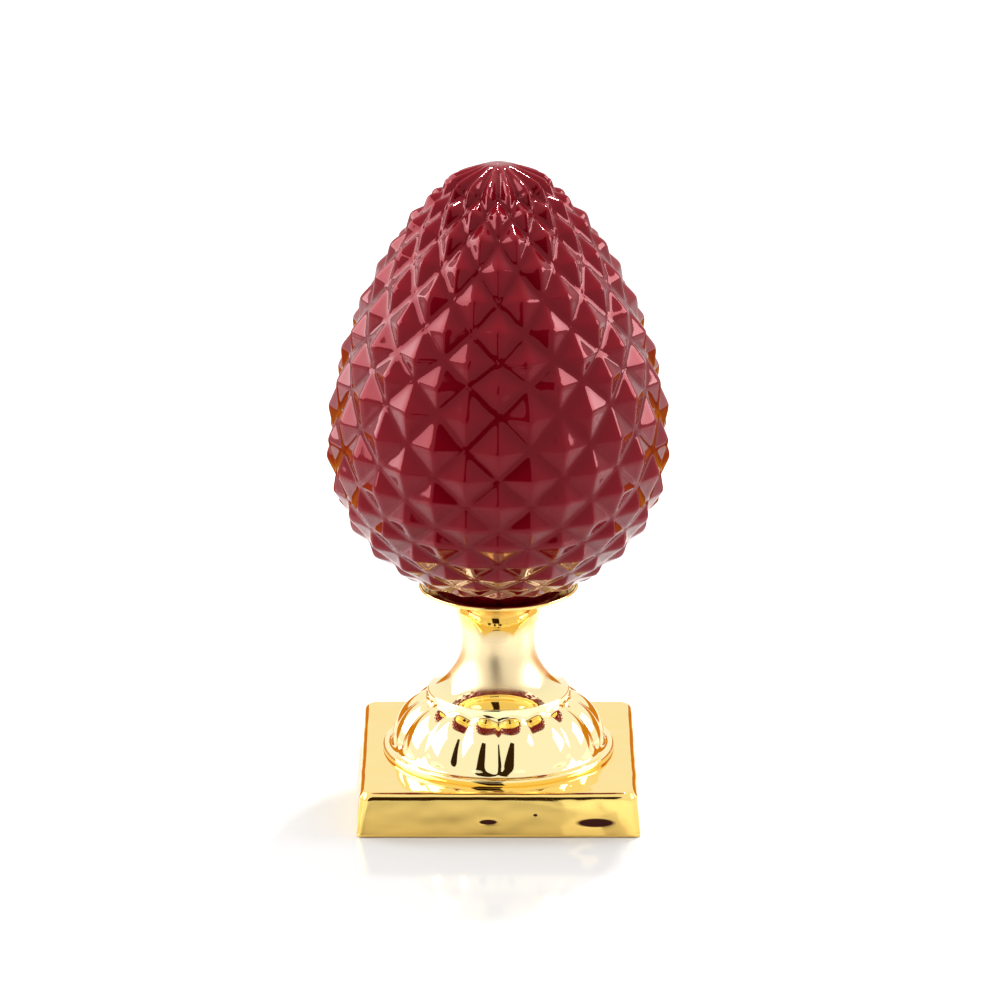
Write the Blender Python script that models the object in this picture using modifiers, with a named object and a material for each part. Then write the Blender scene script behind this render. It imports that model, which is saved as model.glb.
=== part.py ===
# Pinecone finial: a glazed cone of pyramid studs standing in the dish of a gilded pedestal foot.
# Metres, +Z up, front towards -Y. The origin is the middle of the underside of the square plinth.
import math

import bmesh
import bpy

# Cone: the surface that runs through the valleys between the studs
TIP_HEIGHT = 0.2493
BELLY_RADIUS = 0.0630
BELLY_HEIGHT = 0.1414
CONE_UNDERSIDE = 0.0788
UPPER_POWERS = (1.75, 1.55)
LOWER_POWERS = (2.16, 1.79)

# Cone: heights of the rows of valleys, which are staggered by half a column and a little uneven
STUD_COLUMNS = 16
ROW_HEIGHTS = (0.2406, 0.2350, 0.2273, 0.2179, 0.2076, 0.1973, 0.1874, 0.1791, 0.1684, 0.1558,
               0.1449, 0.1344, 0.1242, 0.1165, 0.1085, 0.1010, 0.0957, 0.0903, 0.0855)

# Cone: how far the studs stand out, and how far their points sit towards the tip
STUD_RISES = (0.0049, 0.0036, 0.0033, 0.0031, 0.0013)
STUD_LEANS = (0.0, -0.0005, -0.0005, -0.0015, -0.0008, 0.0013, 0.0026, 0.0022, 0.0010)

# Cone: the smooth cap, and the share of their crests' height to which the flutes below it are filled
CAP_TOP = 0.2500
CAP_RADIUS = 0.0058
FLUTE_RISE = 0.0053
FLUTE_POWER = 0.75
FLUTE_FILLS = (1.0, 0.4, 0.0, 0.0)

# Cone: the plain neck that sits in the dish
CONE_NECK_RADIUS = 0.0235
CONE_NECK_FILLET = 0.0022
CONE_NECK_TURN = (105, 180)
SEAT_GAP = 0.0003

# Dish and stem
DISH_RADIUS = 0.0307
DISH_RIM_TOP = 0.0842
DISH_RIM_ROUND = 0.0007
DISH_FLOOR = 0.0802
DISH_FLOOR_RADIUS = 0.0245
DISH_WALL_RADIUS = 0.0278
DISH_WALL_HEIGHT = 0.0818
DISH_RIM_TURN = (150, -75)
WAIST_RADIUS = 0.0140
WAIST_HEIGHT = 0.0610
BELL_POWER = 2.0
BELL_SHARES = (0.97, 0.88, 0.74, 0.56, 0.36, 0.16)

# Shoulder, where the hollow curve below the waist ends in a rounded edge above the gadroons
COVE_RADIUS = 0.0206
COVE_TURN = 68
SHOULDER_ROUND = 0.0008
SHOULDER_FOOT = 0.0365
STEM_ROOT = 0.0340

# Gadrooned dome
GADROONS = 16
DOME_INNER_RADIUS = 0.0220
DOME_TOP = 0.0394
DOME_RADIUS = 0.0418
DOME_POWER = 2.05
GADROON_DEPTH = 0.0016
GADROON_FADE = 0.0040
LIP_RADIUS = 0.0446
LIP_HEIGHT = 0.0024
LIP_ROUND = 0.0009

# Square plinth
PLINTH_TOP_WIDTH = 0.1052
PLINTH_BASE_WIDTH = 0.1082
PLINTH_HEIGHT = 0.0172
PLINTH_CORNER_ROUND = 0.0030
PLINTH_EDGE_ROUND = 0.0022
PLINTH_ROOT = 0.0030

# Finishes, as linear colours
RED = (0.112, 0.004, 0.008)
RED_ROUGHNESS = 0.1
GOLD = (0.83, 0.56, 0.18)
GOLD_ROUGHNESS = 0.08

# Fineness of the meshes
STEM_SIDES = 48
SIDES_PER_GADROON = 6
DOME_STEPS = 9
LIP_STEPS = 3
RIM_STEPS = 5
COVE_STEPS = 8
SHOULDER_STEPS = 4
NECK_STEPS = 2
SLOPE_STEP = 0.00005
FACE_SPLIT_ANGLE = math.radians(35)
MERGE_DISTANCE = 0.00001


def new_collection(name):
    collection = bpy.data.collections.new(name)
    bpy.context.scene.collection.children.link(collection)
    return collection


def glaze(name, colour, roughness, metallic):
    """A Principled material for one sub-part."""
    material = bpy.data.materials.new(name)
    material.use_nodes = True
    shader = material.node_tree.nodes["Principled BSDF"]
    shader.inputs["Base Color"].default_value = (*colour, 1.0)
    shader.inputs["Roughness"].default_value = roughness
    shader.inputs["Metallic"].default_value = metallic
    return material


def add_object(name, mesh, collection, material=None):
    piece = bpy.data.objects.new(name, mesh)
    collection.objects.link(piece)
    if material:
        mesh.materials.append(material)
    return piece


def shade_round(mesh):
    mesh.shade_smooth()
    mesh.set_sharp_from_angle(angle=FACE_SPLIT_ANGLE)


def quarter(fraction, power):
    """How far a rounded quarter has come in at this fraction of its length, from 1 down to 0."""
    return (1 - min(fraction, 1.0) ** power) ** (1 / power)


def arc(centre, radius, start, end, steps):
    """Points of an arc in the plane of radius and height, angles in degrees from outwards."""
    points = []
    for step in range(steps + 1):
        angle = math.radians(start + (end - start) * step / steps)
        points.append((centre[0] + radius * math.cos(angle), centre[1] + radius * math.sin(angle)))
    return points


def between(values, fraction):
    """Eased value at a fraction of the way along a short list."""
    place = fraction * (len(values) - 1)
    index = min(int(place), len(values) - 2)
    ease = (1 - math.cos(math.pi * (place - index))) / 2
    return values[index] * (1 - ease) + values[index + 1] * ease


def valley_radius(height):
    """Radius of the cone at a height, measured in the valleys."""
    if height >= BELLY_HEIGHT:
        share = (height - BELLY_HEIGHT) / (TIP_HEIGHT - BELLY_HEIGHT)
        bend, tip = UPPER_POWERS
    else:
        share = (BELLY_HEIGHT - height) / (BELLY_HEIGHT - CONE_UNDERSIDE)
        bend, tip = LOWER_POWERS
    return BELLY_RADIUS * max(1 - share ** bend, 0.0) ** (1 / tip)


def valley_height(radius):
    """Height of the upper part of the cone at a radius, measured in the valleys."""
    bend, tip = UPPER_POWERS
    return BELLY_HEIGHT + (TIP_HEIGHT - BELLY_HEIGHT) * (1 - (radius / BELLY_RADIUS) ** tip) ** (1 / bend)


def valley_point(height):
    """Place and outward direction of the valley surface at a height."""
    slope = (valley_radius(height + SLOPE_STEP) - valley_radius(height - SLOPE_STEP)) / (2 * SLOPE_STEP)
    length = math.hypot(1.0, slope)
    return (valley_radius(height), height), (1 / length, -slope / length)


def flute_rows():
    """Rows between the smooth cap and the first studs, where the valleys deepen into flutes."""
    first_radius = valley_radius(ROW_HEIGHTS[0])
    rows = []
    for row, fill in enumerate(FLUTE_FILLS):
        radius = CAP_RADIUS + (first_radius - CAP_RADIUS) * row / len(FLUTE_FILLS)
        place, outward = valley_point(valley_height(radius))
        rise = FLUTE_RISE * (radius / first_radius) ** FLUTE_POWER
        rows.append((raised(place, outward, rise * fill), raised(place, outward, rise), False))
    return rows


def cone_rows():
    """Rows from tip to foot: valley point, stud point and whether the valleys sit on odd columns."""
    rows = flute_rows()
    last = len(ROW_HEIGHTS) - 1
    for row, height in enumerate(ROW_HEIGHTS):
        place, outward = valley_point(height)
        rise = between(STUD_RISES, row / last) if row < last else 0.0
        lean = between(STUD_LEANS, row / last) if row < last else 0.0
        rows.append((place, raised(place, outward, rise, lean), row % 2 == 1))
    return rows + neck_rows(ROW_HEIGHTS[-1])


def neck_rows(top):
    """Plain rows that turn in under the last studs and go down to the floor of the dish."""
    centre = (CONE_NECK_RADIUS + CONE_NECK_FILLET, top - 2 * CONE_NECK_FILLET)
    turn = arc(centre, CONE_NECK_FILLET, *CONE_NECK_TURN, NECK_STEPS)
    foot = (CONE_NECK_RADIUS, DISH_FLOOR + SEAT_GAP)
    return [(place, place, False) for place in turn + [foot]]


def raised(place, outward, rise, lean=0.0):
    """A point moved out from the surface, and along it towards the tip."""
    radius = place[0] + outward[0] * rise - outward[1] * lean
    height = place[1] + outward[1] * rise + outward[0] * lean
    return radius, height


def column_of(vert, columns):
    """Column of a vertex, counted round from 0 at the front."""
    return round(math.atan2(vert.co.x, -vert.co.y) / math.tau * columns) % columns


def wrap_sphere(columns, rows, tip_height, foot_height, place_at):
    """A sphere whose rows of vertices are laid where place_at(row, column) says."""
    bm = bmesh.new()
    bmesh.ops.create_uvsphere(bm, u_segments=columns, v_segments=rows + 1, radius=1.0)
    for vert in bm.verts:
        row = round(math.acos(max(-1.0, min(1.0, vert.co.z))) / math.pi * (rows + 1))
        column = column_of(vert, columns)
        if row == 0:
            vert.co = (0.0, 0.0, tip_height)
        elif row == rows + 1:
            vert.co = (0.0, 0.0, foot_height)
        else:
            radius, height = place_at(row - 1, column)
            angle = math.tau * column / columns
            vert.co = (radius * math.sin(angle), -radius * math.cos(angle), height)
    return bm


def build_pinecone(collection):
    """The cone: a sphere of staggered vertices, every second one raised into the point of a stud."""
    rows = cone_rows()
    columns = 2 * STUD_COLUMNS

    def in_valley(row, column):
        return (column % 2 == 1) == rows[row][2]

    def place_at(row, column):
        return rows[row][0] if in_valley(row, column) else rows[row][1]

    bm = wrap_sphere(columns, len(rows), CAP_TOP, DISH_FLOOR + SEAT_GAP, place_at)
    join_valleys(bm, in_valley, rows, columns)
    mesh = bpy.data.meshes.new("pinecone")
    bm.to_mesh(mesh)
    bm.free()
    red = glaze("red_glaze", RED, RED_ROUGHNESS, 0.0)
    return add_object("pinecone", mesh, collection, red)


def join_valleys(bm, in_valley, rows, columns):
    """Splits each four-sided face of the lattice along its valley, so that every stud has flat sides."""
    valleys = []
    for vert in bm.verts:
        column = column_of(vert, columns)
        for row, (valley, _, _) in enumerate(rows):
            if in_valley(row, column) and abs(vert.co.z - valley[1]) < MERGE_DISTANCE:
                valleys.append(vert)
    bmesh.ops.connect_verts(bm, verts=valleys)


def build_plinth(collection, material):
    """The square slab: a cube drawn in at the top, its corners and edges rounded over."""
    bm = bmesh.new()
    bmesh.ops.create_cube(bm, size=1.0)
    for vert in bm.verts:
        at_top = vert.co.z > 0
        width = PLINTH_TOP_WIDTH if at_top else PLINTH_BASE_WIDTH
        height = PLINTH_HEIGHT if at_top else 0.0
        vert.co = (vert.co.x * width, vert.co.y * width, height)
    upright = [e for e in bm.edges if abs(e.verts[0].co.z - e.verts[1].co.z) > PLINTH_HEIGHT / 2]
    bmesh.ops.bevel(bm, geom=upright, affect="EDGES", offset=PLINTH_CORNER_ROUND, segments=3, profile=0.5)
    upper = [e for e in bm.edges if min(v.co.z for v in e.verts) > PLINTH_HEIGHT * 0.99]
    bmesh.ops.bevel(bm, geom=upper, affect="EDGES", offset=PLINTH_EDGE_ROUND, segments=3, profile=0.5)
    mesh = bpy.data.meshes.new("pedestal_foot")
    bm.to_mesh(mesh)
    bm.free()
    shade_round(mesh)
    return add_object("pedestal_foot", mesh, collection, material)


def dome_profile():
    """Crest line of the gadroons from the shoulder out to the lip, then down into the plinth."""
    points = []
    rise = DOME_TOP - PLINTH_HEIGHT
    for step in range(DOME_STEPS + 1):
        angle = math.pi / 2 * (1 - step / (DOME_STEPS + 1))
        share = math.sin(angle)
        reach = (DOME_RADIUS - DOME_INNER_RADIUS) * quarter(share, DOME_POWER)
        points.append((DOME_INNER_RADIUS + reach, PLINTH_HEIGHT + rise * share))
    lip_top = PLINTH_HEIGHT + LIP_HEIGHT
    points = [point for point in points if point[1] > lip_top + LIP_ROUND]
    points.append((DOME_RADIUS + LIP_ROUND, lip_top + LIP_ROUND / 2))
    points += arc((LIP_RADIUS - LIP_ROUND, lip_top - LIP_ROUND), LIP_ROUND, 90, 0, LIP_STEPS)
    points.append((LIP_RADIUS, PLINTH_HEIGHT - PLINTH_ROOT))
    return points


def build_dome(cutters):
    """The gadrooned dome: rounded lobes parted by grooves that run out before the lip."""
    profile = dome_profile()
    columns = GADROONS * SIDES_PER_GADROON

    def place_at(row, column):
        radius, height = profile[row]
        above_lip = height - PLINTH_HEIGHT - LIP_HEIGHT
        fade = max(0.0, min(1.0, above_lip / GADROON_FADE))
        across = 2 * ((column / SIDES_PER_GADROON) % 1.0) - 1
        depth = GADROON_DEPTH * fade * (1 - math.cos(math.pi / 2 * across))
        lean = math.pi / 2 * (height - PLINTH_HEIGHT) / (DOME_TOP - PLINTH_HEIGHT)
        return radius - depth * math.cos(lean), height - depth * math.sin(lean)

    bm = wrap_sphere(columns, len(profile), DOME_TOP, profile[-1][1], place_at)
    mesh = bpy.data.meshes.new("gadroon_dome")
    bm.to_mesh(mesh)
    bm.free()
    shade_round(mesh)
    return add_object("gadroon_dome", mesh, cutters)


def stem_profile():
    """Outline of dish, waist and shoulder, from the middle of the dish down the outer side."""
    points = [(0.0, DISH_FLOOR), (DISH_FLOOR_RADIUS, DISH_FLOOR)]
    rim_centre = (DISH_RADIUS - DISH_RIM_ROUND, DISH_RIM_TOP - DISH_RIM_ROUND)
    points.append((DISH_WALL_RADIUS, DISH_WALL_HEIGHT))
    points += arc(rim_centre, DISH_RIM_ROUND, *DISH_RIM_TURN, RIM_STEPS)
    bell_height = rim_centre[1] - DISH_RIM_ROUND - WAIST_HEIGHT
    for share in BELL_SHARES:
        radius = WAIST_RADIUS + (rim_centre[0] - WAIST_RADIUS) * (1 - quarter(share, BELL_POWER))
        points.append((radius, WAIST_HEIGHT + bell_height * share))
    points += arc((WAIST_RADIUS + COVE_RADIUS, WAIST_HEIGHT), COVE_RADIUS, 180, 180 + COVE_TURN, COVE_STEPS)
    turn = math.radians(COVE_TURN)
    edge, edge_height = points[-1]
    edge_centre = (edge - SHOULDER_ROUND * math.cos(turn), edge_height - SHOULDER_ROUND * math.sin(turn))
    points += arc(edge_centre, SHOULDER_ROUND, COVE_TURN, 0, SHOULDER_STEPS)[1:]
    points.append((edge_centre[0] + SHOULDER_ROUND, SHOULDER_FOOT))
    points.append((edge_centre[0] - SHOULDER_ROUND, STEM_ROOT))
    points.append((0.0, STEM_ROOT))
    return points


def build_stem(cutters):
    """Dish, waist and shoulder, turned about the upright axis."""
    profile = stem_profile()
    bm = bmesh.new()
    verts = [bm.verts.new((radius, 0.0, height)) for radius, height in profile]
    for upper, lower in zip(verts, verts[1:]):
        bm.edges.new((upper, lower))
    mesh = bpy.data.meshes.new("turned_stem")
    bm.to_mesh(mesh)
    bm.free()
    stem = add_object("turned_stem", mesh, cutters)
    stem.rotation_euler.z = math.pi / (GADROONS * SIDES_PER_GADROON)
    turn = stem.modifiers.new("turn", "SCREW")
    turn.angle = math.tau
    turn.steps = STEM_SIDES
    turn.render_steps = STEM_SIDES
    turn.use_merge_vertices = True
    turn.merge_threshold = MERGE_DISTANCE
    return stem


def build_foot(collection, cutters):
    """The foot in one casting: plinth, gadrooned dome and turned stem with its dish."""
    gold = glaze("gold_lustre", GOLD, GOLD_ROUGHNESS, 1.0)
    foot = build_plinth(collection, gold)
    for part in (build_dome(cutters), build_stem(cutters)):
        part.display_type = "WIRE"
        part.hide_render = True
        join = foot.modifiers.new("join_" + part.name, "BOOLEAN")
        join.operation = "UNION"
        join.object = part
    return foot


def main():
    for old in list(bpy.data.objects):
        bpy.data.objects.remove(old, do_unlink=True)
    collection = new_collection("pinecone_finial")
    cutters = new_collection("joined_shapes")
    build_foot(collection, cutters)
    build_pinecone(collection)


main()
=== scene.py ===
# Pinecone finial: a red glazed cone of pyramid studs on a gold lustre foot, on a white sweep.
# Metres, +Z up, front towards -Y.
import math
import random

import bmesh
import bpy
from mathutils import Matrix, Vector, noise


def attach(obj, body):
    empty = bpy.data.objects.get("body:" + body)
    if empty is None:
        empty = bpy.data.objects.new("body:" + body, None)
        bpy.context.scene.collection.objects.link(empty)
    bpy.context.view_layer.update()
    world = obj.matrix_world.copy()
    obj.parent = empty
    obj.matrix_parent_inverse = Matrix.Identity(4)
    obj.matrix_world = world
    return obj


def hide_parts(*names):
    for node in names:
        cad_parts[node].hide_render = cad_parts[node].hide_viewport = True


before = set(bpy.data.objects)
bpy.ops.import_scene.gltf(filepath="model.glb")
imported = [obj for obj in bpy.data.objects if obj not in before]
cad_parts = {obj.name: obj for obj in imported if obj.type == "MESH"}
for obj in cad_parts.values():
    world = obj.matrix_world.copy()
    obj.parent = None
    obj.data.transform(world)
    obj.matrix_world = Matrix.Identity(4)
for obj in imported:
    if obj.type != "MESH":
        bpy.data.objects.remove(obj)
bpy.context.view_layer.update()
print("frame loaded:", sorted(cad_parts))

mergeDistance = 0.000002


# Helpers

def linearOf(hexColour):
    # sRGB hex to the linear values that shaders take
    values = []
    for start in (0, 2, 4):
        value = int(hexColour[start:start + 2], 16) / 255
        values.append(value / 12.92 if value <= 0.04045 else ((value + 0.055) / 1.055) ** 2.4)
    return (*values, 1.0)


def addNode(tree, kind, settings=None, feeds=(), **links):
    # one node: settings by attribute or socket name, feeds (sockets or plain values) for its
    # inputs in order, and links by the name of the input
    node = tree.nodes.new(kind)
    for name, value in (settings or {}).items():
        if name in node.inputs:
            node.inputs[name].default_value = value
        else:
            setattr(node, name, value)
    for index, feed in enumerate(feeds):
        if isinstance(feed, bpy.types.NodeSocket):
            tree.links.new(feed, node.inputs[index])
        else:
            node.inputs[index].default_value = feed
    for name, source in links.items():
        tree.links.new(source, node.inputs[name.replace("_", " ")])
    return node


def newMaterial(name):
    material = bpy.data.materials.new(name)
    material.use_nodes = True
    material.node_tree.nodes.clear()
    return material, material.node_tree


def makeObject(name, bm, material):
    mesh = bpy.data.meshes.new(name)
    bm.to_mesh(mesh)
    bm.free()
    mesh.materials.append(material)
    thing = bpy.data.objects.new(name, mesh)
    bpy.context.scene.collection.objects.link(thing)
    return thing


def finishPiece(name, bm, material, node):
    # smooth shaded piece that stands for a node of the frame
    for face in bm.faces:
        face.smooth = True
    piece = makeObject(name, bm, material)
    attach(piece, "root")
    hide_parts(node)
    triangles = sum(len(polygon.vertices) - 2 for polygon in piece.data.polygons)
    print(name, "has", triangles, "triangles")


def quarter(share, power):
    # superellipse: 1 at the start of the quarter, 0 at its end
    return max(1 - min(share, 1.0) ** power, 0.0) ** (1 / power)


def arcPoints(centre, radius, start, end, steps):
    # arc in the plane of radius and height, in degrees from outwards
    points = []
    for step in range(steps + 1):
        angle = math.radians(start + (end - start) * step / steps)
        points.append((centre[0] + radius * math.cos(angle), centre[1] + radius * math.sin(angle)))
    return points


def easedKey(values, share):
    # value at a share of the way through a list, eased from one to the next
    place = share * (len(values) - 1)
    index = min(int(place), len(values) - 2)
    ease = (1 - math.cos(math.pi * (place - index))) / 2
    return values[index] * (1 - ease) + values[index + 1] * ease


def softStep(low, high, value):
    share = max(0.0, min(1.0, (value - low) / (high - low)))
    return share * share * (3 - 2 * share)


def roundOff(distance, reach):
    # how far a corner is cut or filled at a distance from its line, as a share of slope times reach
    return 0.5 * max(0.0, 1 - distance / reach) ** 2


# Camera: a long lens that looks down on the finial

camera = {
    "aim": Vector((0.0006, 0.0, 0.11734)),
    "distance": 2.149,
    "pitch": math.radians(17.81),
    "lens": 202.5,
}


def addCamera():
    data = bpy.data.cameras.new("camera")
    data.lens = camera["lens"]
    data.sensor_width = 36
    data.clip_end = 50
    view = bpy.data.objects.new("camera", data)
    back = Vector((0, -math.cos(camera["pitch"]), math.sin(camera["pitch"])))
    view.location = camera["aim"] + back * camera["distance"]
    view.rotation_euler = (math.pi / 2 - camera["pitch"], 0, 0)
    bpy.context.scene.collection.objects.link(view)
    bpy.context.scene.camera = view


addCamera()
print("camera placed")


# Cone: a flat sheet of diamonds, cut fine, rolled round and raised into studs

cone = {
    "tipHeight": 0.2493,         # top of the surface that runs through the valleys
    "bellyRadius": 0.0630,
    "bellyHeight": 0.1414,
    "underside": 0.0788,
    "upperPowers": (1.75, 1.55),
    "lowerPowers": (2.16, 1.79),
    "columns": 32,               # valleys and studs by turns
    "rowHeights": (0.2406, 0.2350, 0.2273, 0.2179, 0.2076, 0.1973, 0.1874, 0.1791, 0.1684, 0.1558,
                   0.1449, 0.1344, 0.1242, 0.1165, 0.1085, 0.1010, 0.0957, 0.0903, 0.0855),
    "studRises": (0.0049, 0.0036, 0.0033, 0.0031, 0.0013),
    "studLeans": (0.0, -0.0005, -0.0005, -0.0015, -0.0008, 0.0013, 0.0026, 0.0022, 0.0010),
    "fluteRows": 2,              # rows of the sheet that the flutes take above the studs
    "flutePower": 0.88,
    "capSoftness": 0.10,         # rounds the tip over, as a share of the first row's radius
    "capShares": (0.16, 0.46),   # the flutes fade into the smooth cap between these
    "ridgeRound": 0.0023,
    "valleyRound": 0.0015,
    "fluteRound": 0.0024,
    "crestLimit": 0.6,           # most of a flute's half width that its crest's rounding takes
    "trenchLimit": 0.9,          # and the rounding of its valley
    "hollow": 0.00016,           # how far each face is dished
    "wander": 0.00022,           # how far each stud strays from its place
    "wanderSeed": 11,
    "cuts": 11,
    "crowding": 1.25,            # over 1 brings the cuts closer to ridges and valleys
    "neckRadius": 0.0235,
    "neckFillet": 0.0022,
    "neckFoot": 0.0805,
}


def valleyRadius(height):
    if height >= cone["bellyHeight"]:
        share = (height - cone["bellyHeight"]) / (cone["tipHeight"] - cone["bellyHeight"])
        bend, end = cone["upperPowers"]
    else:
        share = (cone["bellyHeight"] - height) / (cone["bellyHeight"] - cone["underside"])
        bend, end = cone["lowerPowers"]
    return cone["bellyRadius"] * max(1 - share ** bend, 0.0) ** (1 / end)


def valleyHeight(radius):
    # the other way round, for the upper part
    bend, end = cone["upperPowers"]
    share = (1 - (radius / cone["bellyRadius"]) ** end) ** (1 / bend)
    return cone["bellyHeight"] + (cone["tipHeight"] - cone["bellyHeight"]) * share


def valleyPoint(height):
    # (radius, height) on the valley surface and the outward direction there
    step = 0.00002
    slope = (valleyRadius(height + step) - valleyRadius(height - step)) / (2 * step)
    return Vector((valleyRadius(height), height)), Vector((1.0, -slope)).normalized()


def turned(place, column):
    # a point in the plane of radius and height, turned to its column, 0 at the front
    angle = math.tau * column / cone["columns"]
    return Vector((place.x * math.sin(angle), -place.x * math.cos(angle), place.y))


def studLattice():
    # valley point, stud point, outward direction and rise of every row
    rows = []
    last = len(cone["rowHeights"]) - 1
    for row, height in enumerate(cone["rowHeights"]):
        place, outward = valleyPoint(height)
        rise = easedKey(cone["studRises"], row / last) if row < last else 0.0
        lean = easedKey(cone["studLeans"], row / last) if row < last else 0.0
        stud = place + outward * rise + Vector((-outward.y, outward.x)) * lean
        rows.append((place, stud, outward, rise))
    return rows


def crowded(share):
    return share ** cone["crowding"]


def studPoint(u, v, rows, strays):
    # point of the studded surface at a column and row, whole numbers being the lattice
    last = len(rows) - 1
    i, j = min(int(u), cone["columns"] - 1), min(int(v), last - 1)
    s, t = u - i, v - j
    if (i + j) % 2 == 0:                      # this corner of the cell is a valley
        apex = (i + 1, j) if s >= t else (i, j + 1)
    else:
        apex = (i, j) if s + t <= 1 else (i + 1, j + 1)
    # shares of the face's side corner, end corner and stud
    du, dv = abs(u - apex[0]), abs(v - apex[1])
    rest = max(1 - du - dv, 0.0)
    du, dv, rest = crowded(du), crowded(dv), crowded(rest)
    total = du + dv + rest
    du, dv, rest = du / total, dv / total, rest / total
    sideColumn = apex[0] + (1 if u > apex[0] else -1)
    endRow = apex[1] + (1 if v > apex[1] else -1)
    sidePlace, studPlace, outward, rise = rows[apex[1]]
    endPlace = sidePlace if endRow < 0 else rows[min(endRow, last)][0]
    top = turned(studPlace, apex[0]) + strays[apex[1]][apex[0] % cone["columns"]]
    side = turned(sidePlace, sideColumn)
    end = turned(endPlace, apex[0])
    point = top * rest + side * du + end * dv
    width, height = (side - top).length, (end - top).length
    depth = width * height / math.hypot(width, height)
    lift = rise * roundOff(rest * depth, cone["valleyRound"]) * cone["valleyRound"] / depth
    lift -= rise * roundOff(du * width, cone["ridgeRound"]) * cone["ridgeRound"] / width
    lift -= rise * roundOff(dv * height, cone["ridgeRound"]) * cone["ridgeRound"] / height
    lift -= cone["hollow"] * 27 * du * dv * rest    # the three shares multiply to 1/27 at most
    return point + turned(outward, u) * lift, rest


def flutePoint(u, v, rows, strays):
    # above the first row the studs run up to the cap as flutes, v from -fluteRows to 0
    share = (v + cone["fluteRows"]) / cone["fluteRows"]
    place, outward = valleyPoint(valleyHeight(rows[0][0].x * max(share, 0.001)))
    rise = rows[0][3] * math.hypot(share, cone["capSoftness"]) ** cone["flutePower"]
    if share > 0.999:                         # the first row itself
        place, _, outward, rise = rows[0]
    crest = place + outward * rise
    fade = 1 - softStep(*cone["capShares"], share)
    valley = place.lerp(crest, fade)
    crestColumn = 2 * int(u / 2) + 1
    across = min(abs(u - crestColumn), 1.0)
    near, far = crowded(across), crowded(1 - across)
    across = near / (near + far)
    sideColumn = crestColumn + (1 if u > crestColumn else -1)
    top = turned(crest, crestColumn) + strays[0][crestColumn % cone["columns"]] * share
    side = turned(valley, sideColumn)
    point = top.lerp(side, across)
    width = max((side - top).length, 1e-6)
    cut = rise * (1 - fade)
    reach = min(cone["ridgeRound"], cone["crestLimit"] * width)
    fill = min(cone["fluteRound"], cone["trenchLimit"] * width)
    below = -v * (rows[1][0] - rows[0][0]).length
    lift = cut * roundOff((1 - across) * width, fill) * fill / width
    lift -= cut * roundOff(across * width, reach) * reach / width
    lift -= rows[0][3] * roundOff(below, cone["ridgeRound"]) * cone["ridgeRound"] / width
    return point + turned(outward, u) * lift, 1 - across


def strayTable():
    # small shifts that keep the studs from being copies of each other
    draw = random.Random(cone["wanderSeed"])
    table = []
    for row in range(len(cone["rowHeights"])):
        reach = cone["wander"] if row < len(cone["rowHeights"]) - 1 else 0.0
        shifts = []
        for column in range(cone["columns"]):
            shifts.append(Vector([draw.uniform(-reach, reach) for axis in range(3)]))
        table.append(shifts)
    return table


def rollSheet(bm):
    # the flat sheet, a unit to each column and row, becomes the cone; "stud" runs from 0 in the
    # valleys to 1 on the studs
    rows = studLattice()
    strays = strayTable()
    # the "stud" layer also carries the painted shade that darkens the glaze in the valleys
    stud = bm.verts.layers.float.new("stud")
    for vert in bm.verts:
        u, v = vert.co.x, vert.co.y
        if v > 0.0001:
            vert.co, vert[stud] = studPoint(u, v, rows, strays)
        else:
            vert.co, vert[stud] = flutePoint(u, min(v, 0.0), rows, strays)


def addNeck(bm):
    # plain turned neck below the last studs, down to the floor of the dish
    rim = [edge for edge in bm.edges if edge.is_boundary]
    top = min(vert.co.z for edge in rim for vert in edge.verts)
    fillet = cone["neckFillet"]
    centre = (cone["neckRadius"] + fillet, top - 2 * fillet)
    rings = arcPoints(centre, fillet, 100, 180, 5) + [(cone["neckRadius"], cone["neckFoot"])]
    for radius, height in rings:
        grown = bmesh.ops.extrude_edge_only(bm, edges=rim)["geom"]
        rim = [item for item in grown if isinstance(item, bmesh.types.BMEdge)]
        for vert in {vert for edge in rim for vert in edge.verts}:
            flat = Vector((vert.co.x, vert.co.y, 0)).normalized() * radius
            vert.co = (flat.x, flat.y, height)
    bmesh.ops.contextual_create(bm, geom=rim)


def buildCone(material):
    bm = bmesh.new()
    rowCount = len(cone["rowHeights"]) - 1 + cone["fluteRows"]
    bmesh.ops.create_grid(bm, x_segments=cone["columns"], y_segments=rowCount, size=0.5)
    for vert in bm.verts:
        column = round((vert.co.x + 0.5) * cone["columns"])
        row = round((0.5 - vert.co.y) * rowCount) - cone["fluteRows"]
        vert.co = (column, row, 0)
    valleys = [vert for vert in bm.verts if vert.co.y >= 0 and round(vert.co.x + vert.co.y) % 2 == 0]
    bmesh.ops.connect_verts(bm, verts=valleys)
    bmesh.ops.subdivide_edges(bm, edges=list(bm.edges), cuts=cone["cuts"], use_grid_fill=True)
    rollSheet(bm)
    bmesh.ops.remove_doubles(bm, verts=list(bm.verts), dist=mergeDistance)
    addNeck(bm)
    bmesh.ops.recalc_face_normals(bm, faces=list(bm.faces))
    finishPiece("studded_cone", bm, material, "pinecone")


# Foot: turned dish, stem, shoulder and gadrooned dome, standing on a soft edged slab

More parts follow.
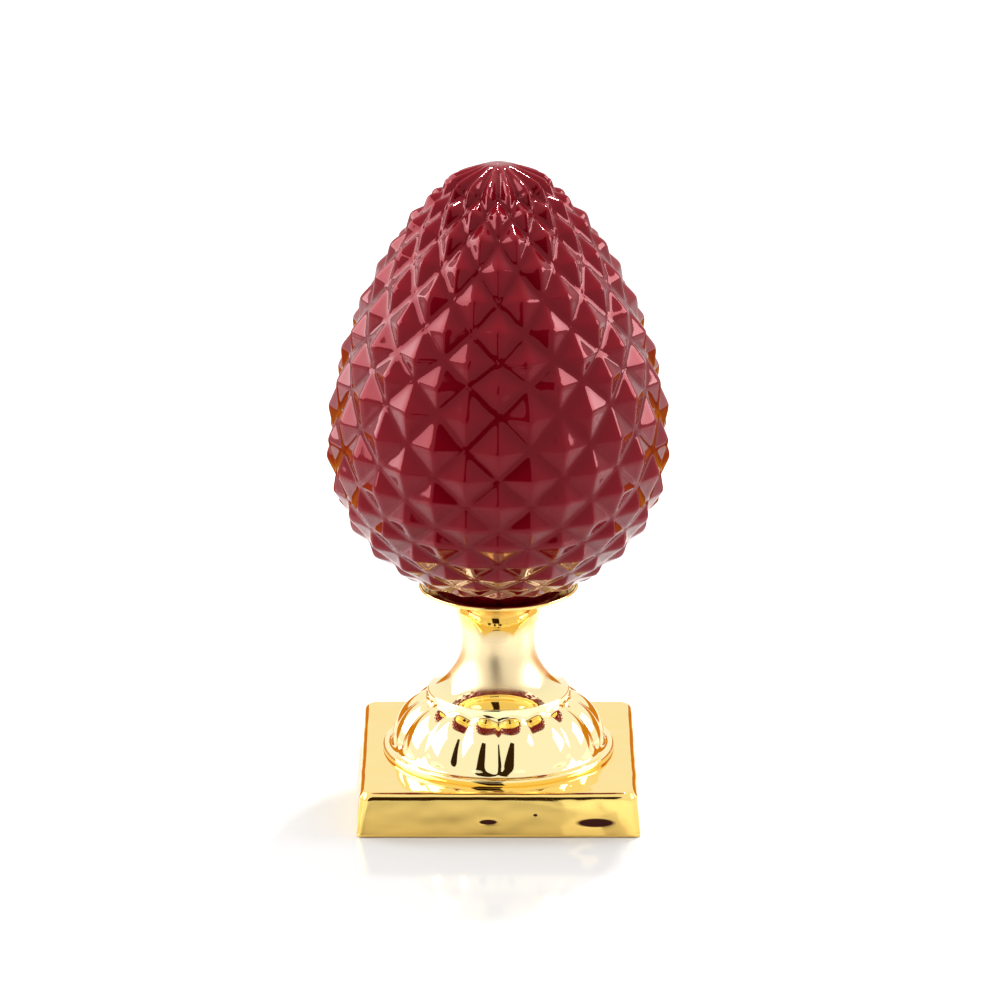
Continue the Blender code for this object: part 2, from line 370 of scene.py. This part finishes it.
foot = {
    "dishRadius": 0.0307,
    "rimTop": 0.0842,
    "rimRound": 0.00075,
    "rimTurn": (150, -75),       # degrees, from inside the dish to the bell below it
    "dishFloor": 0.0802,
    "dishFloorRadius": 0.0245,
    "dishWall": (0.0278, 0.0818),
    "waistRadius": 0.0140,
    "waistHeight": 0.0610,
    "bellPower": 2.0,
    "bellSteps": 26,
    "coveRadius": 0.0206,        # hollow curve from the waist down to the shoulder
    "coveTurn": 68,
    "coveSteps": 36,
    "shoulderRound": 0.0008,
    "shoulderFillet": 0.0014,
    "shoulderTop": 0.0409,       # the grooves run out on its upright face
    "shoulderFade": 0.0016,
    "gadroons": 16,
    "domeInner": 0.0220,
    "domeTop": 0.0394,
    "domeRadius": 0.0418,
    "domePower": 2.05,
    "domeSteps": 34,
    "grooveDepth": 0.0016,
    "grooveRound": 0.14,         # share of half a gadroon that the groove's fillet takes
    "grooveFade": 0.0040,
    "lipTurnSteps": 7,
    "lipRadius": 0.0446,
    "lipHeight": 0.0024,
    "lipRound": 0.0009,
    "sink": 0.0010,              # how far the dome's skirt goes into the slab
    "steps": 384,
}

slab = {
    "topWidth": 0.1052,
    "baseWidth": 0.1082,
    "height": 0.0172,
    "topCorner": 0.0045,         # upright corners, softer at the top
    "footCorner": 0.0016,
    "edgeRound": 0.0024,
    "footRound": 0.0013,
    "roundCuts": 4,
    "sideCuts": 67,
    "heightCuts": 23,
    "wave": 0.00022,             # height of the soft waves that glaze and mould leave
    "waveLength": 0.016,
    "waveSquash": 1.6,           # longer across the slab than down it
    "waveShift": Vector((3.1, 7.7, 1.3)),
    "rippleShare": 0.45,         # a finer wave on the first
    "rippleFineness": 2.3,
    "stillHeight": 0.0012,       # the waves start above the underside
    "dents": (                   # across, up, half width, half height, depth on the front face
        (-0.0039, 0.0062, 0.0038, 0.0011, 0.00025),
        (0.0369, 0.0059, 0.0078, 0.0019, 0.00030),
        (0.0140, 0.0090, 0.0009, 0.0006, 0.00012),
    ),
    "dentSteepness": 1.6,
}


def footProfile():
    # from the middle of the dish, over the rim and down the outer side into the slab
    rimRound, waist = foot["rimRound"], foot["waistRadius"]
    rimCentre = (foot["dishRadius"] - rimRound, foot["rimTop"] - rimRound)
    points = [(0.0, foot["dishFloor"]), (foot["dishFloorRadius"], foot["dishFloor"]), foot["dishWall"]]
    points += arcPoints(rimCentre, rimRound, *foot["rimTurn"], 12)
    bellHeight = rimCentre[1] - rimRound - foot["waistHeight"]
    for step in range(foot["bellSteps"] - 1, 0, -1):
        share = math.sin(math.pi / 2 * step / foot["bellSteps"])
        radius = waist + (rimCentre[0] - waist) * (1 - quarter(share, foot["bellPower"]))
        points.append((radius, foot["waistHeight"] + bellHeight * share))
    coveCentre = (waist + foot["coveRadius"], foot["waistHeight"])
    points += arcPoints(coveCentre, foot["coveRadius"], 180, 180 + foot["coveTurn"], foot["coveSteps"])
    turn, edge = math.radians(foot["coveTurn"]), foot["shoulderRound"]
    edgeCentre = (points[-1][0] - edge * math.cos(turn), points[-1][1] - edge * math.sin(turn))
    points += arcPoints(edgeCentre, edge, foot["coveTurn"], 0, 9)[1:]
    return points + domePoints(edgeCentre[0] + edge)


def domeHeight(radius):
    share = (radius - foot["domeInner"]) / (foot["domeRadius"] - foot["domeInner"])
    return slab["height"] + (foot["domeTop"] - slab["height"]) * quarter(share, foot["domePower"])


def domePoints(start):
    # fillet below the shoulder, crest line of the gadroons, a hollow turn, the lip and the skirt
    reach = foot["shoulderFillet"]
    corner = Vector((start, domeHeight(start)))
    above, beyond = corner + Vector((0, reach)), Vector((start + reach, domeHeight(start + reach)))
    points = []
    for step in range(9):
        share = step / 8
        points.append(tuple(above.lerp(corner, share).lerp(corner.lerp(beyond, share), share)))
    lipTop = slab["height"] + foot["lipHeight"]
    for step in range(1, foot["domeSteps"]):
        share = math.sin(math.pi / 2 * (1 - step / foot["domeSteps"]))
        width = (foot["domeRadius"] - foot["domeInner"]) * quarter(share, foot["domePower"])
        point = (foot["domeInner"] + width, slab["height"] + (foot["domeTop"] - slab["height"]) * share)
        if point[0] > beyond.x + 0.0003 and point[1] > lipTop + 2 * foot["lipRound"]:
            points.append(point)
    last = points[-1]
    turnEnd = (foot["lipRadius"] - 2 * foot["lipRound"], lipTop - 0.0001)
    for step in range(1, foot["lipTurnSteps"] + 1):
        share = step / foot["lipTurnSteps"]
        ease = share ** 2
        points.append((last[0] + (turnEnd[0] - last[0]) * ease,
                       last[1] + (turnEnd[1] - last[1]) * (2 * share - ease)))
    lipCentre = (foot["lipRadius"] - foot["lipRound"], lipTop - foot["lipRound"])
    points += arcPoints(lipCentre, foot["lipRound"], 80, 0, 7)
    points.append((foot["lipRadius"], slab["height"] - foot["sink"]))
    return points


def cutGrooves(bm):
    # sixteen rounded lobes parted by grooves, one groove facing the front
    rise = foot["domeTop"] - slab["height"]
    lipTop = slab["height"] + foot["lipHeight"]
    for vert in bm.verts:
        above = vert.co.z - lipTop
        if above <= 0 or vert.co.z > foot["shoulderTop"]:
            continue
        angle = math.atan2(vert.co.x, -vert.co.y) % math.tau
        across = abs(2 * ((angle / math.tau * foot["gadroons"]) % 1.0) - 1)
        bowl = 1 - math.cos(math.pi / 2 * across)
        bowl -= math.pi / 2 * foot["grooveRound"] * roundOff(1 - across, foot["grooveRound"])
        depth = foot["grooveDepth"] * softStep(0, foot["grooveFade"], above) * bowl
        depth *= softStep(0, foot["shoulderFade"], foot["shoulderTop"] - vert.co.z)
        lean = math.pi / 2 * min((vert.co.z - slab["height"]) / rise, 1.0)
        outward = Vector((vert.co.x, vert.co.y, 0)).normalized() * math.cos(lean)
        vert.co -= (outward + Vector((0, 0, math.sin(lean)))) * depth


def turnFoot(bm):
    profile = [bm.verts.new((radius, 0, height)) for radius, height in footProfile()]
    edges = [bm.edges.new(pair) for pair in zip(profile, profile[1:])]
    bmesh.ops.spin(bm, geom=profile + edges, cent=(0, 0, 0), axis=(0, 0, 1), angle=math.tau,
                   steps=foot["steps"], use_merge=True)
    bmesh.ops.remove_doubles(bm, verts=list(bm.verts), dist=mergeDistance)
    rim = [edge for edge in bm.edges if edge.is_boundary]
    bmesh.ops.contextual_create(bm, geom=rim)
    cutGrooves(bm)


def waveAt(point, outward):
    place = Vector((point.x, point.y, point.z * slab["waveSquash"])) / slab["waveLength"]
    wave = noise.noise(place + slab["waveShift"])
    wave += slab["rippleShare"] * noise.noise(place * slab["rippleFineness"])
    return outward * wave * slab["wave"]


def dentAt(point):
    depth = 0.0
    for across, up, halfWidth, halfHeight, deep in slab["dents"]:
        reach = ((point.x - across) / halfWidth) ** 2 + ((point.z - up) / halfHeight) ** 2
        depth += deep * math.exp(-slab["dentSteepness"] * reach * reach)
    return depth


def spreadLine(share, half, reach, lines):
    # place of a cut line, -1 to 1 across the slab, with the outer lines bunched in the rounding
    index = (1 - abs(share)) * lines / 2
    bunched = slab["roundCuts"]
    if index < bunched:
        offset = half - reach + reach * math.tan(math.pi / 4 * (bunched - index) / bunched)
    else:
        offset = (half - reach) * abs(share) / (1 - 2 * bunched / lines)
    return math.copysign(offset, share)


def roundSlab(bm):
    # the cube's cut lines become a slab with leaning sides and rounded edges
    for vert in bm.verts:
        high = (vert.co.z + 1) / 2
        reach = slab["footRound"] + (slab["edgeRound"] - slab["footRound"]) * high
        half = (slab["baseWidth"] + (slab["topWidth"] - slab["baseWidth"]) * high) / 2
        middle = slab["height"] / 2
        place = Vector((spreadLine(vert.co.x, half, reach, slab["sideCuts"] + 1),
                        spreadLine(vert.co.y, half, reach, slab["sideCuts"] + 1),
                        spreadLine(vert.co.z, middle, reach, slab["heightCuts"] + 1)))
        inner = Vector([math.copysign(min(abs(value), limit - reach), value)
                        for value, limit in zip(place, (half, half, middle))])
        out = place - inner
        vert.co = inner + (out.normalized() * reach if out.length > 1e-7 else out)
        vert.co.z += middle
        corner = slab["footCorner"] + (slab["topCorner"] - slab["footCorner"]) * high
        across, along = abs(vert.co.x) - half + corner, abs(vert.co.y) - half + corner
        if across > 0 and along > 0:
            drawIn = max(across, along) / math.hypot(across, along)
            vert.co.x = math.copysign(half - corner + across * drawIn, vert.co.x)
            vert.co.y = math.copysign(half - corner + along * drawIn, vert.co.y)


def makeSlab():
    bm = bmesh.new()
    bmesh.ops.create_cube(bm, size=2.0)
    upright = [e for e in bm.edges if abs(e.verts[0].co.z - e.verts[1].co.z) > 1]
    bmesh.ops.subdivide_edges(bm, edges=upright, cuts=slab["heightCuts"], use_grid_fill=True)
    level = [e for e in bm.edges if abs(e.verts[0].co.z - e.verts[1].co.z) < 0.01]
    bmesh.ops.subdivide_edges(bm, edges=level, cuts=slab["sideCuts"], use_grid_fill=True)
    roundSlab(bm)
    bm.normal_update()
    moves = []
    for vert in bm.verts:
        move = waveAt(vert.co, vert.normal)
        if vert.normal.y < -0.7:              # front face
            move -= vert.normal * dentAt(vert.co)
        moves.append((vert, move * softStep(0.0, slab["stillHeight"], vert.co.z)))
    for vert, move in moves:
        vert.co += move
    return bm


def buildFoot(material):
    bm = bmesh.new()
    turnFoot(bm)
    lower = makeSlab()
    mesh = bpy.data.meshes.new("slab")
    lower.to_mesh(mesh)
    lower.free()
    bm.from_mesh(mesh)
    bpy.data.meshes.remove(mesh)
    bmesh.ops.recalc_face_normals(bm, faces=list(bm.faces))
    finishPiece("gilded_foot", bm, material, "pedestal_foot")


# Glaze and gilding

glaze = {
    # painted shade: the valleys take a darker red than the studs
    "valleyShadeColour": "54010A",
    "studColour": "680411",
    "studShare": 0.9,            # the stud's colour is reached here on the ramp
    "cloudScale": 55.0,          # patches about 18 mm across
    "cloudShare": 0.5,
    "peelScale": 420.0,          # orange peel, about 2.4 mm across
    "peelDepth": 0.00004,
    "peelStrength": 0.25,
    "roughness": 0.07,
    "ior": 1.56,                 # plain glaze is near 1.5, this is fitted to the photograph
    "tint": "FF8992",            # a clear glaze mirrors white, so this too is fitted
}

lustre = {
    # painted light in the colours by height: paler on the slab's top, the dome and the stem as painted
    # highlight, darker under the dish as painted shade
    "colours": (                 # heights up the foot
        (0.0000, "F9D070"),
        (0.0150, "FBD97C"),
        (0.0174, "FDE08C"),
        (0.0200, "FFF0B6"),
        (0.0420, "FFF0B6"),
        (0.0500, "F4DDAE"),
        (0.0660, "F4DDAE"),
        (0.0710, "F2CE7A"),
        (0.0840, "FBDC8A"),
    ),
    "roughness": (
        (0.0455, 0.05),
        (0.0485, 0.36),
        (0.0620, 0.36),
        (0.0700, 0.05),
    ),
    "rippleScale": 90.0,         # ripples about 11 mm apart
    "rippleDepth": 0.0001,
    "rippleStrength": 0.3,
    "pitEdge": (0.95, 0.72),     # the gold fades between these shares of a pit's reach
    "pitReach": 0.92,
    "pitFlatness": 60,           # keeps the pits to the front face
    # painted reflection: the pits of the slab's front face are painted the dark brown that they mirror
    "pitReflectionColour": "3A1006",
    "pitReflectionRoughness": 0.35,
    "pitReflectionSpecular": 0.12,
}


def redGlaze():
    # oxblood red glaze on slip cast earthenware, fired glossy: deep and even in colour, with painted
    # shade that makes it a little darker in the valleys, and a hard clear reflection that ripples
    # slightly
    material, tree = newMaterial("oxblood_glaze")
    place = addNode(tree, "ShaderNodeTexCoord").outputs["Object"]
    stud = addNode(tree, "ShaderNodeAttribute", {"attribute_name": "stud"}).outputs["Fac"]
    cloud = addNode(tree, "ShaderNodeTexNoise", {"Scale": glaze["cloudScale"], "Detail": 3.0},
                    Vector=place)
    share = addNode(tree, "ShaderNodeMath", {"operation": "MULTIPLY_ADD"},
                    (cloud.outputs["Fac"], glaze["cloudShare"], stud))
    ramp = addNode(tree, "ShaderNodeValToRGB", Fac=share.outputs["Value"])
    # painted shade: the ramp runs from the darker valley red to the stud red
    low, high = ramp.color_ramp.elements
    low.color = linearOf(glaze["valleyShadeColour"])
    high.color = linearOf(glaze["studColour"])
    high.position = glaze["studShare"]
    peel = addNode(tree, "ShaderNodeTexNoise", {"Scale": glaze["peelScale"], "Detail": 1.0},
                   Vector=place)
    bump = addNode(tree, "ShaderNodeBump",
                   {"Strength": glaze["peelStrength"], "Distance": glaze["peelDepth"]},
                   Height=peel.outputs["Fac"])
    shader = addNode(tree, "ShaderNodeBsdfPrincipled",
                     {"Roughness": glaze["roughness"], "IOR": glaze["ior"],
                      "Specular Tint": linearOf(glaze["tint"])},
                     Base_Color=ramp.outputs["Color"], Normal=bump.outputs["Normal"])
    addNode(tree, "ShaderNodeOutputMaterial", Surface=shader.outputs["BSDF"])
    return material


def heightRamp(tree, place, keys):
    # colour ramp up the piece, the keys being heights in metres with their colours
    axes = addNode(tree, "ShaderNodeSeparateXYZ", Vector=place)
    low, high = keys[0][0], keys[-1][0]
    share = addNode(tree, "ShaderNodeMapRange", {"From Min": low, "From Max": high},
                    Value=axes.outputs["Z"])
    ramp = addNode(tree, "ShaderNodeValToRGB", Fac=share.outputs["Result"])
    stops = ramp.color_ramp.elements
    while len(stops) < len(keys):
        stops.new(0.5)
    for stop, (height, colour) in zip(stops, keys):
        stop.position = (height - low) / (high - low)
        stop.color = colour
    return ramp.outputs["Color"]


def pitMask(tree, place):
    # 1 inside the pits of the slab's front face, where a dark reflection is painted, 0 outside
    edge = {"From Min": lustre["pitEdge"][0], "From Max": lustre["pitEdge"][1]}
    reach = lustre["pitReach"]
    mask = 0.0
    for across, up, halfWidth, halfHeight, _ in slab["dents"]:
        centre = (across, -slab["baseWidth"] / 2, up)
        stretch = (reach / halfWidth, lustre["pitFlatness"], reach / halfHeight)
        away = addNode(tree, "ShaderNodeVectorMath", {"operation": "SUBTRACT"}, (place, centre))
        spread = addNode(tree, "ShaderNodeVectorMath", {"operation": "MULTIPLY"},
                         (away.outputs["Vector"], stretch))
        length = addNode(tree, "ShaderNodeVectorMath", {"operation": "LENGTH"},
                         (spread.outputs["Vector"],))
        inside = addNode(tree, "ShaderNodeMapRange", edge, Value=length.outputs["Value"])
        joined = addNode(tree, "ShaderNodeMath", {"operation": "MAXIMUM"},
                         (mask, inside.outputs["Result"]))
        mask = joined.outputs["Value"]
    return mask


def goldLustre():
    # gold lustre fired over glossy glaze: a mirror of warm metal that follows every ripple of the
    # glaze; its colour by height is painted light fitted to the photograph: deep on the slab's front,
    # paler on its top, the dome and the stem as painted highlight, darker under the dish as painted
    # shade; its gloss by height is fitted too, softer round the waist; the pits of the front face get a
    # painted reflection in dark brown
    material, tree = newMaterial("gold_lustre")
    place = addNode(tree, "ShaderNodeTexCoord").outputs["Object"]
    ripple = addNode(tree, "ShaderNodeTexNoise", {"Scale": lustre["rippleScale"], "Detail": 1.0},
                     Vector=place)
    bump = addNode(tree, "ShaderNodeBump",
                   {"Strength": lustre["rippleStrength"], "Distance": lustre["rippleDepth"]},
                   Height=ripple.outputs["Fac"])
    colours = [(height, linearOf(tone)) for height, tone in lustre["colours"]]
    greys = [(height, (rough, rough, rough, 1)) for height, rough in lustre["roughness"]]
    gold = addNode(tree, "ShaderNodeBsdfPrincipled", {"Metallic": 1.0},
                   Base_Color=heightRamp(tree, place, colours),
                   Roughness=heightRamp(tree, place, greys), Normal=bump.outputs["Normal"])
    # painted reflection: a dull dark brown in the pits
    pitReflectionShader = addNode(tree, "ShaderNodeBsdfPrincipled",
                   {"Base Color": linearOf(lustre["pitReflectionColour"]), "Roughness": lustre["pitReflectionRoughness"],
                    "Specular IOR Level": lustre["pitReflectionSpecular"]})
    shader = addNode(tree, "ShaderNodeMixShader", None,
                     (pitMask(tree, place), gold.outputs["BSDF"], pitReflectionShader.outputs["BSDF"]))
    addNode(tree, "ShaderNodeOutputMaterial", Surface=shader.outputs["Shader"])
    return material


# Studio: white sweep in a pale room, two soft boxes, a small lamp overhead and sheets that the
# gold and the glaze mirror

studio = {
    "middle": Vector((0, 0, 0.13)),
    "floorFront": -0.36,
    "floorBack": 5.0,
    "floorSide": 3.0,
    "floorTone": 0.65,
    "floorRoughness": 0.10,
    "floorIor": 1.42,
    "boxes": (                   # name, azimuth, height angle, distance, width, height, radiance
        ("left_box", -98, 27, 1.5, 1.45, 1.15, 5.2),
        ("right_box", 99, 24, 1.6, 0.84, 0.80, 7.4),
        ("top_lamp", 162, 65, 1.5, 0.14, 0.14, 380.0),
    ),
    "cards": (                   # name, azimuth, height angle, distance, width, height, top, colour
        ("camera_card", -13, 20, 1.2, 0.70, 1.50, 0.5, "33200E"),
        ("left_amber", -136, -20, 0.32, 0.26, 0.20, 1.0, "D4841E"),
        ("right_amber", 136, -20, 0.32, 0.26, 0.20, 1.0, "D4841E"),
    ),
    "worldTone": 1.0,
}


def placeFacing(thing, azimuth, lift, distance):
    # azimuth from the camera side, towards +X; everything faces the middle of the finial
    across, up = math.radians(azimuth), math.radians(lift)
    way = Vector((math.sin(across) * math.cos(up), -math.cos(across) * math.cos(up), math.sin(up)))
    thing.location = studio["middle"] + way * distance
    thing.rotation_euler = way.to_track_quat("Z", "Y").to_euler()


def addBoxes():
    for name, azimuth, lift, distance, width, height, radiance in studio["boxes"]:
        data = bpy.data.lights.new(name, "AREA")
        data.shape = "RECTANGLE"
        data.size, data.size_y = width, height
        data.energy = radiance * math.pi * width * height
        lamp = bpy.data.objects.new(name, data)
        bpy.context.scene.collection.objects.link(lamp)
        placeFacing(lamp, azimuth, lift, distance)
        lamp.visible_camera = False


def addCards():
    # glowing or dark sheets, out of the camera's sight; the top edge is a share of the width and
    # the left edge leans
    for name, azimuth, lift, distance, width, height, top, colour in studio["cards"]:
        material, tree = newMaterial(name)
        glow = addNode(tree, "ShaderNodeEmission", {"Color": linearOf(colour), "Strength": 1.0})
        addNode(tree, "ShaderNodeOutputMaterial", Surface=glow.outputs["Emission"])
        bm = bmesh.new()
        bmesh.ops.create_grid(bm, x_segments=1, y_segments=1, size=0.5)
        bmesh.ops.scale(bm, vec=(width, height, 1), verts=list(bm.verts))
        upper = [vert for vert in bm.verts if vert.co.y > 0]
        bmesh.ops.scale(bm, vec=(top, 1, 1), verts=upper)
        bmesh.ops.translate(bm, vec=((1 - top) * width / 2, 0, 0), verts=upper)
        card = makeObject(name, bm, material)
        placeFacing(card, azimuth, lift, distance)
        card.visible_camera = False
        card.visible_shadow = False


def addFloor():
    material, tree = newMaterial("white_sweep")
    tone = studio["floorTone"]
    shader = addNode(tree, "ShaderNodeBsdfPrincipled",
                     {"Base Color": (tone, tone, tone, 1), "Roughness": studio["floorRoughness"],
                      "IOR": studio["floorIor"]})
    addNode(tree, "ShaderNodeOutputMaterial", Surface=shader.outputs["BSDF"])
    bm = bmesh.new()
    bmesh.ops.create_grid(bm, x_segments=1, y_segments=1, size=0.5)
    for vert in bm.verts:
        vert.co.x *= 2 * studio["floorSide"]
        vert.co.y = studio["floorFront"] if vert.co.y < 0 else studio["floorBack"]
    makeObject("floor", bm, material)


def addWorld():
    world = bpy.data.worlds.new("studio")
    bpy.context.scene.world = world
    world.use_nodes = True
    tree = world.node_tree
    tree.nodes.clear()
    sky = addNode(tree, "ShaderNodeBackground",
                  {"Color": (1, 1, 1, 1), "Strength": studio["worldTone"]})
    addNode(tree, "ShaderNodeOutputWorld", Surface=sky.outputs["Background"])


buildCone(redGlaze())
print("cone built")
buildFoot(goldLustre())
print("foot built")
addBoxes()
addCards()
addFloor()
addWorld()
bpy.context.scene.view_settings.view_transform = "Standard"
print("studio lit")
